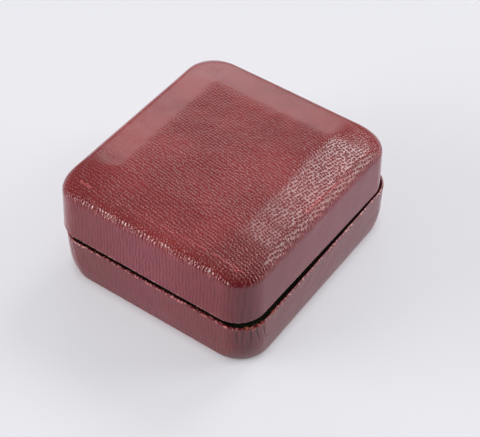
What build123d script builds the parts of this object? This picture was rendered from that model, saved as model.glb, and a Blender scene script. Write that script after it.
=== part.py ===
"""Coin presentation box: two pressed steel trays covered in leatherette, joined by a sprung hinge.

Millimetres. The origin is the centre of the underside, +Z is up and the hinge is at the rear, +Y.
The lid rests on its stop a little ajar and turns back about the hinge axis.
"""

import os
from math import atan, cos, pi, radians, sin, sqrt, tan

from build123d import *

# The coin that the box is made round, and the room from its edge to the box's outside
coin_diameter = 38.6
coin_thickness = 2.9
coin_to_side = 10.7
coin_to_end = 13.7

# Base, outside its leatherette
base_width = coin_diameter + 2 * coin_to_side
base_depth = coin_diameter + 2 * coin_to_end
base_height = 13.5
base_corner_radius = 7.6
base_lean = 0.35
foot_height = 6.0
foot_inset = 0.5
foot_corner_growth = 3.0

# Lid, outside its leatherette, from its lower edge up
lid_step_in = 0.15
lid_width = base_width - 2 * lid_step_in
lid_depth = base_depth - 2 * lid_step_in
lid_height = 17.4
lid_corner_radius = 7.8
lid_lean = 0.34
shoulder_radius = 4.0
shoulder_corner_growth = 5.7
bevel_rise = 2.0
bevel_to_side = 11.95
bevel_to_end = 12.45
plateau_width = lid_width - 2 * bevel_to_side
plateau_depth = lid_depth - 2 * bevel_to_end
plateau_corner_radius = 1.6

# How the lid sits on the base
lid_rest_angle = 2.0
lid_side_offset = -0.4
lid_forward_offset = 0.8
rear_edge_gap = 0.13

# Sheet thicknesses
leatherette = 0.2
shell_steel = 0.3
glue_line = 0.03
turned_in = 4.5
rim_round = 0.3

# Velvet insert with the coin's well
coin_side_clearance = 0.3
coin_top_clearance = 0.5
velvet = 0.5
insert_below_rim = 1.2
thumb_notch_radius = 7.0
well_floor_card = 1.0
well_patch_margin = 2.2
riser_card = 1.2
insert_fit = 0.15

# Card strips that line the walls, under velvet in the base and satin in the lid
collar_card = 0.8
collar_start = 1.9
collar_below_rim = 0.3
satin = 0.25
lid_collar_height = 8.0
lid_collar_start = 0.6

# Satin pad in the lid, hung from a card spacer
pad_board = 1.2
pad_board_height = 9.4
pad_crown = 4.6
pad_crown_power = 2.4
pad_corner_radius = 5.5
pad_side_draw = 0.4
pad_fit = 0.3
pad_turned_over = 5.0
spacer_width = 30.0
spacer_depth = 34.0

# Hinge
hinge_length = 28.0
hinge_outset = 0.25
barrel_diameter = 3.0
pin_diameter = 1.5
pin_fit = 0.03
pin_head_diameter = 2.3
pin_head_thickness = 0.4
knuckle_count = 5
knuckle_gap = 0.2
leaf_steel = 0.5
leaf_height = 8.0
hinge_slot_clearance = 0.5
rivet_spacing = 18.0
rivet_diameter = 1.2
rivet_head_diameter = 2.4
rivet_head_thickness = 0.4
rivet_hole_fit = 0.03
rivet_drop = 5.0

# Snap spring, a strip bent to a C and hooked over an ear on each leaf
spring_width = 4.5
spring_steel = 0.3
spring_bow_radius = 4.6
spring_hook_reach = 3.4
spring_lug = 0.6
spring_seat_gap = 0.03
spring_clearance = 0.6
ear_width = 7.0
ear_lip = 0.45
ear_slot_fit = 0.15

# How finely the rounded forms are cut
foot_steps = 5
shoulder_steps = 6
crown_steps = 7
crown_last_turn = radians(82)
least_step = 0.1

# Values worked out from the ones above
wall = 2 * leatherette + shell_steel + 2 * glue_line
well_radius = coin_diameter / 2 + coin_side_clearance
well_depth = coin_thickness + coin_top_clearance
hinge_y = base_depth / 2 + hinge_outset
hinge_z = base_height
hinge_axis = Axis((0, hinge_y, hinge_z), (-1, 0, 0))
lid_edge_z = base_height + rear_edge_gap
lid_centre_y = -lid_forward_offset
shoulder_run = bevel_to_side - lid_lean - shoulder_radius
bevel_angle = atan(bevel_rise / (shoulder_run + shoulder_radius * sin(atan(bevel_rise / shoulder_run))))
shoulder_turn = pi / 2 - bevel_angle
lid_side_height = lid_height - bevel_rise - shoulder_radius * sin(shoulder_turn)
insert_top = base_height - insert_below_rim
board_top = insert_top - velvet
board_bottom = insert_top - well_depth
patch_bottom = board_bottom - velvet
riser_top = patch_bottom - well_floor_card
notch_y = -well_radius
collar_inset = wall + glue_line
base_collar_inner = collar_inset + collar_card + glue_line + velvet
insert_inset = base_collar_inner + insert_fit
lid_collar_inner = collar_inset + collar_card + glue_line + satin
pad_inset = lid_collar_inner + pad_fit + lid_lean
spring_recess_half = ear_width / 2 + spring_clearance
spring_reach = spring_hook_reach + spring_bow_radius
spring_foot = spring_steel / 2 + ear_slot_fit + ear_lip
spring_recess_front = hinge_y - spring_reach - spring_steel / 2 - spring_clearance


def base_plane(z):
    """Level z above the underside, on the base's centre."""
    return Plane.XY.offset(z)


def lid_plane(z):
    """Level z above the lid's lower edge, on the lid's centre."""
    return Plane((lid_side_offset, lid_centre_y, lid_edge_z + z))


def base_section(z, inset):
    """Width, depth and corner radius of the base's outline at level z, drawn in all round by inset."""
    lean = base_lean * (1 - z / base_height)
    fall = max(0.0, 1 - z / foot_height)
    draw = 1 - sqrt(1 - min(1.0, fall) ** 2)
    side = lean + foot_inset * draw + inset
    radius = base_corner_radius - lean + foot_corner_growth * draw - inset
    return base_width - 2 * side, base_depth - 2 * side, radius


def lid_section(z, inset):
    """Width, depth and corner radius of the lid's outline at level z of its side, drawn in by inset."""
    side = lid_lean * z / lid_side_height + inset
    return lid_width - 2 * side, lid_depth - 2 * side, lid_corner_radius - side


def shoulder_section(turn, inset):
    """Level and outline at an angle of turn round the lid's shoulder, drawn in by inset square to it."""
    side = lid_lean + shoulder_radius * (1 - cos(turn)) + inset * cos(turn)
    level = lid_side_height + (shoulder_radius - inset) * sin(turn)
    growth = shoulder_corner_growth * (1 - cos(turn))
    radius = lid_corner_radius - lid_lean + growth - inset * cos(turn)
    return level, (lid_width - 2 * side, lid_depth - 2 * side, radius)


def loft_sections(sections, mode=Mode.ADD):
    """Ruled solid through rounded rectangles, each given as its plane and its outline."""
    outlines = []
    for plane, (width, depth, radius) in sections:
        with BuildSketch(plane) as outline:
            RectangleRounded(width, depth, radius)
        outlines.append(outline.sketch.face())
    loft(outlines, ruled=True, mode=mode)


def base_form(inset, low, high, mode=Mode.ADD):
    """The base's outer form between two levels, drawn in by inset."""
    turns = [n * pi / 2 / foot_steps for n in range(1, foot_steps + 1)]
    bends = [foot_height * (1 - cos(turn)) for turn in turns]
    levels = [low, *[z for z in bends if low + least_step < z < high - least_step], high]
    loft_sections([(base_plane(z), base_section(z, inset)) for z in levels], mode)


def lid_wall(inset, low, high, mode=Mode.ADD):
    """The lid's form between two levels of its side, drawn in by inset."""
    loft_sections([(lid_plane(z), lid_section(z, inset)) for z in (low, high)], mode)


def base_ring(outer, inner, low, high):
    """A strip round the base's wall, between two insets and two levels."""
    with BuildPart() as ring:
        base_form(outer, low, high)
        base_form(inner, low, high, Mode.SUBTRACT)
    return ring.part


def lid_ring(outer, inner, low, high):
    """A strip round the lid's wall, between two insets and two levels."""
    with BuildPart() as ring:
        lid_wall(outer, low, high)
        lid_wall(inner, low, high, Mode.SUBTRACT)
    return ring.part


def lid_form(inset, low, mode=Mode.ADD):
    """The lid's outer form from level low to its plateau, drawn in by inset."""
    sections = [(lid_plane(low), lid_section(low, inset))]
    for n in range(shoulder_steps + 1):
        level, outline = shoulder_section(n * shoulder_turn / shoulder_steps, inset)
        sections.append((lid_plane(level), outline))
    shrink = 2 * inset * tan(bevel_angle / 2)
    top = (plateau_width - shrink, plateau_depth - shrink, plateau_corner_radius)
    sections.append((lid_plane(lid_height - inset), top))
    loft_sections(sections, mode)


def pad_section(turn, inset):
    """Plane and outline of the pad at an angle of turn round its crown, under a cover inset thick."""
    span = lid_width / 2 - pad_inset - inset
    power = 2 / pad_crown_power
    drawn = span * (1 - cos(turn) ** power)
    fall = (pad_crown - inset) * sin(turn) ** power
    width = lid_width - 2 * (pad_inset + inset + drawn)
    depth = lid_depth - 2 * (pad_inset + inset + drawn)
    radius = (pad_corner_radius - inset) * (1 - drawn / span)
    return lid_plane(pad_board_height - fall), (width, depth, radius)


def pad_outline(plane, width, depth, radius, draw):
    """A rounded rectangle whose sides draw in between its corners."""
    x, y = width / 2, depth / 2
    cut = radius * (1 - sqrt(0.5))
    with BuildSketch(plane) as outline:
        with BuildLine():
            for side in (-1, 1):
                ThreePointArc((radius - x, side * y), (0, side * (y - draw)), (x - radius, side * y))
                ThreePointArc((side * x, radius - y), (side * (x - draw), 0), (side * x, y - radius))
                for end in (-1, 1):
                    ThreePointArc(
                        (side * x, end * (y - radius)),
                        (side * (x - cut), end * (y - cut)),
                        (side * (x - radius), end * y),
                    )
        make_face()
    return outline.sketch.face()


def pad_form(inset, top, mode=Mode.ADD):
    """The crowned pad, drawn in by inset, from level top down to its crown."""
    outlines = []
    for n in range(crown_steps + 1):
        turn = n * crown_last_turn / crown_steps
        plane, (width, depth, radius) = pad_section(turn, inset)
        outlines.append(pad_outline(plane, width, depth, radius, pad_side_draw * cos(turn)))
    loft(outlines, ruled=True, mode=mode)
    extrude(outlines[0], amount=top - pad_board_height, mode=mode)


def box_between(x, y, z, mode=Mode.ADD):
    """A block between two values of each of x, y and z."""
    with BuildSketch(Plane.XY.offset(z[0])) as block:
        with Locations(((x[0] + x[1]) / 2, (y[0] + y[1]) / 2)):
            Rectangle(x[1] - x[0], y[1] - y[0])
    extrude(block.sketch, amount=z[1] - z[0], mode=mode)


def cut_at_hinge(half_width, front, low, high):
    """Cuts away what lies behind y = front, as wide as half_width each side of the middle."""
    box_between((-half_width, half_width), (front, hinge_y + barrel_radius), (low, high), Mode.SUBTRACT)


def rivet_cylinders(radius, near, far, level, mode=Mode.ADD):
    """The two rivets of a leaf, or their holes, between y = near and y = far."""
    with BuildSketch(Plane.XZ.offset(-far)) as circles:
        with Locations(*[(x, level) for x in (-rivet_spacing / 2, rivet_spacing / 2)]):
            Circle(radius)
    extrude(circles.sketch, amount=far - near, mode=mode)


def rivet_holes(near, far, level):
    """Two rivet holes through what lies between y = near and y = far."""
    rivet_cylinders(rivet_diameter / 2 + rivet_hole_fit, near, far, level, Mode.SUBTRACT)


def well_hole(growth, low, high, mode=Mode.SUBTRACT):
    """The coin's round hole and its thumb notch, larger all round by growth."""
    with BuildSketch(Plane.XY.offset(low)) as hole:
        Circle(well_radius + growth)
        with Locations((0, notch_y)):
            Circle(thumb_notch_radius + growth)
    extrude(hole.sketch, amount=high - low, mode=mode)


def knuckle_span(n):
    """Where knuckle n starts and ends along the barrel, with half a gap at each end."""
    pitch = hinge_length / knuckle_count
    start = -hinge_length / 2 + n * pitch
    return start + knuckle_gap / 2, start + pitch - knuckle_gap / 2


def barrel(radius, start, end, mode=Mode.ADD):
    """A round bar on the hinge's axis between two places along X."""
    with BuildSketch(Plane.YZ.offset(start)) as ring:
        with Locations((hinge_y, hinge_z)):
            Circle(radius)
    extrude(ring.sketch, amount=end - start, mode=mode)


def leaf(back, side, own_knuckles, other_knuckles):
    """A hinge leaf with its knuckles and spring ear. Side is -1 for the base's and 1 for the lid's."""
    half = hinge_length / 2
    front = back - leaf_steel
    near = barrel_radius - leaf_steel
    far = barrel_radius + leaf_height
    ear_end = hinge_y - spring_hook_reach - spring_foot

    def levels(a, b):
        return sorted((hinge_z + side * a, hinge_z + side * b))

    with BuildPart() as made:
        box_between((-half, half), (front, back), levels(near, far))
        box_between((-half, half), (front, hinge_y), levels(near, barrel_radius))
        for n in own_knuckles:
            barrel(barrel_radius, *knuckle_span(n))
        for n in other_knuckles:
            start, end = knuckle_span(n)
            barrel(barrel_radius + knuckle_gap, start - knuckle_gap, end + knuckle_gap, Mode.SUBTRACT)
        barrel(pin_diameter / 2 + pin_fit, -half, half, Mode.SUBTRACT)
        ear = (-ear_width / 2, ear_width / 2)
        box_between(ear, (ear_end, front), levels(ear_near, ear_near + leaf_steel))
        window = levels(ear_near + leaf_steel, ear_near + leaf_steel + front - ear_end)
        box_between(ear, (front, back), window, Mode.SUBTRACT)
        hook_y = hinge_y - spring_hook_reach
        half_slot = (spring_width / 2 + ear_slot_fit, spring_steel / 2 + ear_slot_fit)
        box_between(
            (-half_slot[0], half_slot[0]),
            (hook_y - half_slot[1], hook_y + half_slot[1]),
            levels(ear_near, ear_near + leaf_steel),
            Mode.SUBTRACT,
        )
        rivet_holes(front, back, hinge_z + side * rivet_drop)
    return made.part


def rivets(back, tail, level):
    """The two rivets of a leaf, with heads on the leaf and tails flush with the steel."""
    front = back - leaf_steel
    with BuildPart() as made:
        rivet_cylinders(rivet_diameter / 2, front, tail, level)
        rivet_cylinders(rivet_head_diameter / 2, front - rivet_head_thickness, front, level)
        fillet(made.edges().group_by(Axis.Y)[0], radius=rivet_head_thickness / 2)
    return made.part


def at_rest(y, z):
    """Where a point of the lid, given with the lid flat, lies with the lid at its rest angle."""
    turned = Vector(0, y - hinge_y, z - hinge_z).rotate(Axis.X, -lid_rest_angle)
    return turned.Y + hinge_y, turned.Z + hinge_z


def keep(part, name, on_lid=False):
    """Labels a piece, turns the lid's pieces to the rest angle, and writes it."""
    if on_lid:
        part = part.rotate(hinge_axis, lid_rest_angle)
    part.label = name
    export_step(part, f"parts/{name}.step")
    return part


# The hinge leaves lie on the inside of the rear walls, clear of the walls' lean
barrel_radius = barrel_diameter / 2
slot_half = hinge_length / 2 + pin_head_thickness + pin_fit + hinge_slot_clearance
slot_reach = barrel_radius + hinge_slot_clearance
ear_near = spring_bow_radius - spring_steel / 2 - spring_seat_gap - leaf_steel
leaf_end = barrel_radius + leaf_height
lid_rear = lid_centre_y + lid_depth / 2
base_slot_front = base_depth / 2 - wall - base_lean - hinge_slot_clearance
lid_slot_front = lid_rear - wall - lid_lean - hinge_slot_clearance
base_window_front = base_depth / 2 - base_collar_inner - insert_fit
lid_window_front = lid_rear - lid_collar_inner - lid_lean - pad_fit / 2
base_leaf_back = base_depth / 2 - collar_inset - base_lean * leaf_end / base_height
lid_leaf_back = lid_rear - collar_inset - lid_lean * leaf_end / lid_side_height
base_rivet_z = hinge_z - rivet_drop
lid_rivet_z = hinge_z + rivet_drop
shell_outer = leatherette + glue_line
shell_inner = shell_outer + shell_steel
base_rivet_tail = base_depth / 2 - shell_outer - base_lean * rivet_drop / base_height
lid_rivet_tail = lid_rear - shell_outer - lid_lean * rivet_drop / lid_side_height

os.makedirs("parts", exist_ok=True)

# Base cover: one sheet of leatherette over the underside and sides, folded in over the rim
base_turn_in = base_height - turned_in
base_groove = base_ring(leatherette, wall - leatherette, base_turn_in, base_height - leatherette)
with BuildPart() as base_cover:
    base_form(0, 0, base_height)
    base_form(wall, base_turn_in, base_height, Mode.SUBTRACT)
    fillet(base_cover.edges().group_by(Axis.Z)[-1], radius=rim_round)
    base_form(leatherette, leatherette, base_turn_in, Mode.SUBTRACT)
    add(base_groove, mode=Mode.SUBTRACT)
    cut_at_hinge(slot_half, base_slot_front, hinge_z - slot_reach, hinge_z)
    rivet_holes(base_leaf_back - leaf_steel, base_rivet_tail, base_rivet_z)
keep(base_cover.part, "base_cover")

# Base shell: the pressed steel tray inside the leatherette
with BuildPart() as base_shell:
    base_form(shell_outer, shell_outer, base_height - shell_outer)
    base_form(shell_inner, shell_inner, base_height - shell_outer, Mode.SUBTRACT)
    cut_at_hinge(slot_half, base_slot_front, hinge_z - slot_reach, hinge_z)
    rivet_holes(base_leaf_back - leaf_steel, base_depth / 2, base_rivet_z)
keep(base_shell.part, "base_shell")

# Strip of card round the inside of the base, open at the hinge
collar_top = base_height - collar_below_rim
card_inner = collar_inset + collar_card
velvet_outer = card_inner + glue_line
with BuildPart() as base_collar_card:
    base_form(collar_inset, collar_start, collar_top - velvet - glue_line)
    base_form(card_inner, collar_start, collar_top - velvet - glue_line, Mode.SUBTRACT)
    cut_at_hinge(slot_half, base_window_front, collar_start, collar_top)
keep(base_collar_card.part, "base_collar_card")

# Its velvet, glued to the inner face and over the top edge
base_card_room = base_ring(collar_inset, velvet_outer, collar_start, collar_top - velvet)
with BuildPart() as base_collar_velvet:
    base_form(collar_inset, collar_start, collar_top)
    base_form(base_collar_inner, collar_start, collar_top, Mode.SUBTRACT)
    add(base_card_room, mode=Mode.SUBTRACT)
    cut_at_hinge(slot_half, base_window_front, collar_start, collar_top)
keep(base_collar_velvet.part, "base_collar_velvet")

# Folded card frame that carries the insert
base_floor = shell_inner + glue_line
with BuildPart() as insert_riser:
    base_form(insert_inset, base_floor, riser_top)
    base_form(insert_inset + riser_card, base_floor, riser_top, Mode.SUBTRACT)
keep(insert_riser.part, "insert_riser")

# Card floor under the coin's well
with BuildPart() as well_floor_card_panel:
    base_form(insert_inset, riser_top, patch_bottom)
    cut_at_hinge(spring_recess_half, spring_recess_front, riser_top, patch_bottom)
keep(well_floor_card_panel.part, "well_floor_card")

# Velvet patch that shows at the bottom of the well and the notch
patch_front = notch_y - thumb_notch_radius - well_patch_margin
patch_rear = well_radius + well_patch_margin
with BuildPart() as well_floor_velvet:
    with BuildSketch(Plane.XY.offset(patch_bottom)):
        with Locations((0, (patch_front + patch_rear) / 2)):
            Rectangle(2 * patch_rear, patch_rear - patch_front)
    extrude(amount=velvet)
keep(well_floor_velvet.part, "well_floor_velvet")

# Insert board, cut out for the coin, the thumb and the snap spring
board_inset = insert_inset + velvet + glue_line
with BuildPart() as insert_board:
    base_form(board_inset, board_bottom, board_top - glue_line)
    well_hole(velvet + glue_line, board_bottom, board_top)
    cut_at_hinge(spring_recess_half, spring_recess_front, board_bottom, board_top)
keep(insert_board.part, "insert_board")

# Velvet over the board's top and edges and down the wall of the well
with BuildPart() as board_room:
    base_form(insert_inset + velvet, board_bottom, board_top)
    well_hole(velvet, board_bottom, board_top)
with BuildPart() as insert_velvet:
    base_form(insert_inset, board_bottom, insert_top)
    add(board_room.part, mode=Mode.SUBTRACT)
    well_hole(0, board_bottom, insert_top)
    cut_at_hinge(spring_recess_half, spring_recess_front, board_bottom, insert_top)
keep(insert_velvet.part, "insert_velvet")

# Lid cover: one sheet of leatherette over the plateau, shoulders and sides, folded in at the edge
lid_groove = lid_ring(leatherette, wall - leatherette, leatherette, turned_in)
with BuildPart() as lid_cover:
    lid_form(0, 0)
    lid_wall(wall, 0, turned_in, Mode.SUBTRACT)
    fillet(lid_cover.edges().group_by(Axis.Z)[0], radius=rim_round)
    lid_form(leatherette, turned_in, Mode.SUBTRACT)
    add(lid_groove, mode=Mode.SUBTRACT)
    cut_at_hinge(slot_half, lid_slot_front, hinge_z, hinge_z + slot_reach)
    rivet_holes(lid_leaf_back - leaf_steel, lid_rivet_tail, lid_rivet_z)
keep(lid_cover.part, "lid_cover", on_lid=True)

# Lid shell: the pressed steel tray inside it
with BuildPart() as lid_shell:
    lid_form(shell_outer, shell_outer)
    lid_form(shell_inner, shell_outer, Mode.SUBTRACT)
    cut_at_hinge(slot_half, lid_slot_front, hinge_z, hinge_z + slot_reach)
    rivet_holes(lid_leaf_back - leaf_steel, lid_rear, lid_rivet_z)
keep(lid_shell.part, "lid_shell", on_lid=True)

# Strip of card round the inside of the lid, open at the hinge
lid_collar_top = lid_collar_start + lid_collar_height
with BuildPart() as lid_collar_card:
    lid_wall(collar_inset, lid_collar_start + satin + glue_line, lid_collar_top)
    lid_wall(card_inner, lid_collar_start + satin + glue_line, lid_collar_top, Mode.SUBTRACT)
    cut_at_hinge(slot_half, lid_window_front, lid_edge_z, lid_edge_z + lid_collar_top)
keep(lid_collar_card.part, "lid_collar_card", on_lid=True)

# Its satin, glued to the inner face and over the lower edge
lid_card_room = lid_ring(
    collar_inset, card_inner + glue_line, lid_collar_start + satin, lid_collar_top
)
with BuildPart() as lid_collar_satin:
    lid_wall(collar_inset, lid_collar_start, lid_collar_top)
    lid_wall(lid_collar_inner, lid_collar_start, lid_collar_top, Mode.SUBTRACT)
    add(lid_card_room, mode=Mode.SUBTRACT)
    cut_at_hinge(slot_half, lid_window_front, lid_edge_z, lid_edge_z + lid_collar_top)
keep(lid_collar_satin.part, "lid_collar_satin", on_lid=True)

# Wadding: the crowned filling of the pad
with BuildPart() as lid_pad_wadding:
    pad_form(satin + glue_line, pad_board_height - glue_line)
keep(lid_pad_wadding.part, "lid_pad_wadding", on_lid=True)

# Card board behind the wadding
pad_board_top = pad_board_height + pad_board
board_draw = pad_inset + satin + pad_side_draw + glue_line
with BuildPart() as lid_pad_board:
    with BuildSketch(lid_plane(pad_board_height)):
        RectangleRounded(
            lid_width - 2 * board_draw, lid_depth - 2 * board_draw, pad_corner_radius - satin
        )
    extrude(amount=pad_board)
keep(lid_pad_board.part, "lid_pad_board", on_lid=True)

# Satin over the wadding, round the board's edge and glued down on its back
pad_back = pad_board_top + glue_line
with BuildPart() as lid_pad_satin:
    pad_form(0, pad_back + satin)
    pad_form(satin, pad_back, Mode.SUBTRACT)
    with BuildSketch(lid_plane(pad_back)):
        turned = pad_inset + pad_turned_over
        RectangleRounded(lid_width - 2 * turned, lid_depth - 2 * turned, pad_corner_radius)
    extrude(amount=satin, mode=Mode.SUBTRACT)
keep(lid_pad_satin.part, "lid_pad_satin", on_lid=True)

# Card block that holds the pad off the steel
with BuildPart() as lid_pad_spacer:
    with BuildSketch(lid_plane(pad_board_top)):
        Rectangle(spacer_width, spacer_depth)
    extrude(amount=lid_height - shell_inner - glue_line - pad_board_top)
keep(lid_pad_spacer.part, "lid_pad_spacer", on_lid=True)

# Hinge: two leaves with interleaved knuckles, four rivets and a pin headed at both ends
base_knuckles = range(0, knuckle_count, 2)
lid_knuckles = range(1, knuckle_count, 2)
keep(leaf(base_leaf_back, -1, base_knuckles, lid_knuckles), "hinge_base_leaf")
keep(leaf(lid_leaf_back, 1, lid_knuckles, base_knuckles), "hinge_lid_leaf", on_lid=True)
keep(rivets(base_leaf_back, base_rivet_tail, base_rivet_z), "base_hinge_rivets")
keep(rivets(lid_leaf_back, lid_rivet_tail, lid_rivet_z), "lid_hinge_rivets", on_lid=True)
pin_end = hinge_length / 2 - knuckle_gap / 2 + pin_fit
with BuildPart() as hinge_pin:
    barrel(pin_diameter / 2, -pin_end, pin_end)
    barrel(pin_head_diameter / 2, pin_end, pin_end + pin_head_thickness)
    barrel(pin_head_diameter / 2, -pin_end - pin_head_thickness, -pin_end)
keep(hinge_pin.part, "hinge_pin")

# Snap spring: it holds the lid down, and past its dead centre it holds the lid open
hook_y = hinge_y - spring_hook_reach
low_z = hinge_z - spring_bow_radius
high_z = hinge_z + spring_bow_radius
bow_start = (hook_y - spring_foot, low_z)
bow_end = at_rest(hook_y - spring_foot, high_z)
bow_middle = (hinge_y - spring_reach, (low_z + bow_end[1]) / 2)
with BuildPart() as snap_spring:
    with BuildSketch(Plane.YZ.offset(-spring_width / 2)):
        with BuildLine() as strip:
            Polyline((hook_y, low_z + spring_lug), (hook_y, low_z), bow_start)
            ThreePointArc(bow_start, bow_middle, bow_end)
            Polyline(bow_end, at_rest(hook_y, high_z), at_rest(hook_y, high_z - spring_lug))
            offset(amount=spring_steel / 2, kind=Kind.INTERSECTION, side=Side.BOTH)
        make_face()
    extrude(amount=spring_width)
keep(snap_spring.part, "snap_spring")
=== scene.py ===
"""Coin presentation box: how its leatherette, velvet, satin and steel look, round the fixed frame.

Sizes are millimetres in the box's own frame until a mesh is made, and metres from there.
"""

import functools
import math

import bmesh
import bpy
import numpy as np
from mathutils import Matrix, Vector, geometry, noise


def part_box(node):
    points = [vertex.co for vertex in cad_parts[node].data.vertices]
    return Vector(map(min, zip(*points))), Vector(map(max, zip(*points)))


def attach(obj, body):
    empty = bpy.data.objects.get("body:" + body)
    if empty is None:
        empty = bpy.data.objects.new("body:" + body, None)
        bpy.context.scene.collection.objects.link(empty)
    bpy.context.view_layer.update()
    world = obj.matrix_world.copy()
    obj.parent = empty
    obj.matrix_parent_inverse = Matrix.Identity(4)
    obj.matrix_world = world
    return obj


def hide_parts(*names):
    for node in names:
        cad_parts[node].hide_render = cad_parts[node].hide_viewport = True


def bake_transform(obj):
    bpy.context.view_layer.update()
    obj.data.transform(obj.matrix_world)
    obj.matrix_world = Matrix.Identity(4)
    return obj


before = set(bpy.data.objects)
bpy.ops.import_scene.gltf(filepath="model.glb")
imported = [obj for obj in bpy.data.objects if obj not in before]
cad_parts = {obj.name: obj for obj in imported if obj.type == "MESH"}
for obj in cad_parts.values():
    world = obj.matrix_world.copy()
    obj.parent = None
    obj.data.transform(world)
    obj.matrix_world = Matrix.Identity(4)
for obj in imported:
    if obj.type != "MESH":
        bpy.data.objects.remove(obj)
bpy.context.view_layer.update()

MM = 0.001

# Base, outside its leatherette
base_width = 60.0
base_depth = 66.0
base_height = 13.5
base_corner = 7.6
base_lean = 0.35
foot_height = 6.0
foot_inset = 0.5
foot_corner_growth = 3.0
foot_edge_radius = 0.7

# Lid, from its lower edge up
lid_width = 59.7
lid_depth = 65.7
lid_height = 17.4
lid_corner = 7.8
lid_lean = 0.34
shoulder_radius = 4.0
shoulder_corner_growth = 5.7
bevel_rise = 2.0
plateau_width = 35.8
plateau_depth = 40.8
plateau_corner = 1.6
plateau_softness = 1.1
plateau_crown = 0.15
mitre_power = 1.3

# How the lid stands on the base
lid_rest_angle = 2.0
lid_centre = (-0.4, -0.8)
lid_edge_z = 13.63
hinge_y = 33.25
hinge_z = 13.5

# Leatherette and the fold over the rim
leatherette = 0.2
wall = 0.76
turned_in = 4.5
slot_half = 14.93
slot_reach = 2.0
slot_bottom = base_height - slot_reach
lid_slot_top = hinge_z + slot_reach - lid_edge_z

# Rows of the leatherette near a rim, by distance from it: on the fold inside, and down the side outside
lid_fold_rows = (turned_in, 3.2, lid_slot_top, 1.1, 0.6)
base_fold_rows = (turned_in, 3.1, slot_reach, 1.1, 0.6)
lid_side_rows = (0.6, 0.9, 1.2, 1.55, lid_slot_top)
base_side_rows = (0.6, 0.85, 1.1, 1.4, 1.7, slot_reach)

# Rows of the underside, by their share of the way to its middle
underside_shares = (0.04, 0.1, 0.2, 0.35, 0.5, 0.65, 0.8, 0.92, 0.99)

# Small forms of the leatherette: slow waves of the sheet, and the dip of the base's rim on its right side
side_wave = 0.07
top_wave = 0.05
rim_sag = 0.14
sag_start, sag_end = (-29, -20), (27, 12)
sag_levels = (10.5, 13.0)
right_facing = (0.4, 0.9)

# Lining
collar_start = 1.9
collar_top = 13.2
collar_inner = 2.12
collar_outer = 0.82
collar_round_end = 1.6
collar_flat_end = 1.2
collar_tuck = 0.06
cloth_wave = 0.05
velvet_skin = 0.45
insert_inset = 2.27
insert_top = 12.3
insert_bottom = 8.95
insert_round = 0.5
insert_rows = (insert_bottom, 10.0, 11.0, insert_top - insert_round)
well_radius = 19.6
notch_radius = 7.0
recess_half = 4.1
recess_front = 24.5
patch_bottom = 8.4
patch_rise = 0.48
patch_settle = 0.06
patch_skin = 0.38
satin_skin = 0.2
lid_collar_start = 0.6
lid_collar_end = 8.6
lid_collar_inner = 1.87
pad_inset = 2.51
pad_level = 9.4
pad_board_back = 10.6
pad_back = 10.86
pad_crown = 4.6
pad_crown_power = 2.4
pad_corner = 5.5
pad_side_draw = 0.4
pad_turned_over = 5.0
pad_skin = 0.25
pad_front_gap = 0.03
pad_back_gap = 0.04
gather_depth = 0.09

# Columns round the outline: a plain side, the rear side's three stretches, and a corner
side_columns = 40
rear_columns = (12, 20, 12)
corner_columns = 72


def arc(centre, radius, first, last, count):
    """Points and outward directions round an arc, without its last point."""
    turns = np.radians(np.linspace(first, last, count + 1)[:-1])
    out = np.stack([np.cos(turns), np.sin(turns)], 1)
    return np.array(centre) + radius * out, out


def straight(start, end, out, count):
    """Points and outward directions along a straight stretch, without its last point."""
    t = np.linspace(0, 1, count + 1)[:-1, None]
    return (1 - t) * np.array(start) + t * np.array(end), np.tile(np.array(out, float), (count, 1))


def rounded(width, depth, radius, rear, side, front, corner, rears):
    """Points and outward directions round a rounded rectangle, whose rear side runs through given stops."""
    x, y = width / 2, depth / 2
    cx, cy = x - radius, y - radius
    runs = [
        straight((x, -cy), (x, cy), (1, 0), side),
        arc((cx, cy), radius, 0, 90, corner),
        *[straight(a, b, (0, 1), count) for a, b, count in zip(rear, rear[1:], rears)],
        arc((-cx, cy), radius, 90, 180, corner),
        straight((-x, cy), (-x, -cy), (-1, 0), side),
        arc((-cx, -cy), radius, 180, 270, corner),
        straight((-cx, -y), (cx, -y), (0, -1), front),
        arc((cx, -cy), radius, 270, 360, corner),
    ]
    return np.concatenate([r[0] for r in runs]), np.concatenate([r[1] for r in runs])


def outline(width, depth, radius, shift=0.0):
    """A rounded rectangle with columns at the hinge's slot, from which its centre is shifted."""
    cx = width / 2 - radius
    stops = (cx, slot_half - shift, -slot_half - shift, -cx)
    if cx < slot_half + abs(shift):
        stops = np.linspace(cx, -cx, 4)
    rear = [(stop, depth / 2) for stop in stops]
    return rounded(width, depth, radius, rear, side_columns, side_columns, corner_columns, rear_columns)


# Where each stretch of columns starts
rear_start = side_columns + corner_columns
slot_start = rear_start + rear_columns[0]
slot_end = slot_start + rear_columns[1]
rear_left_corner = rear_start + sum(rear_columns)
front_left_corner = rear_left_corner + corner_columns + side_columns
near_corner = front_left_corner + corner_columns + side_columns
column_count = near_corner + corner_columns


def base_section(z, inset):
    """Width, depth and corner radius of the base's outline at level z, drawn in by inset."""
    lean = base_lean * (1 - z / base_height)
    draw = 1 - math.sqrt(1 - min(1.0, max(0.0, 1 - z / foot_height)) ** 2)
    side = lean + foot_inset * draw + inset
    radius = base_corner - lean + foot_corner_growth * draw - inset
    return base_width - 2 * side, base_depth - 2 * side, radius


shoulder_run = (lid_width - plateau_width) / 2 - lid_lean - shoulder_radius
rough_angle = math.atan(bevel_rise / shoulder_run)
bevel_angle = math.atan(bevel_rise / (shoulder_run + shoulder_radius * math.sin(rough_angle)))
shoulder_turn = math.pi / 2 - bevel_angle
lid_side_height = lid_height - bevel_rise - shoulder_radius * math.sin(shoulder_turn)


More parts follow.
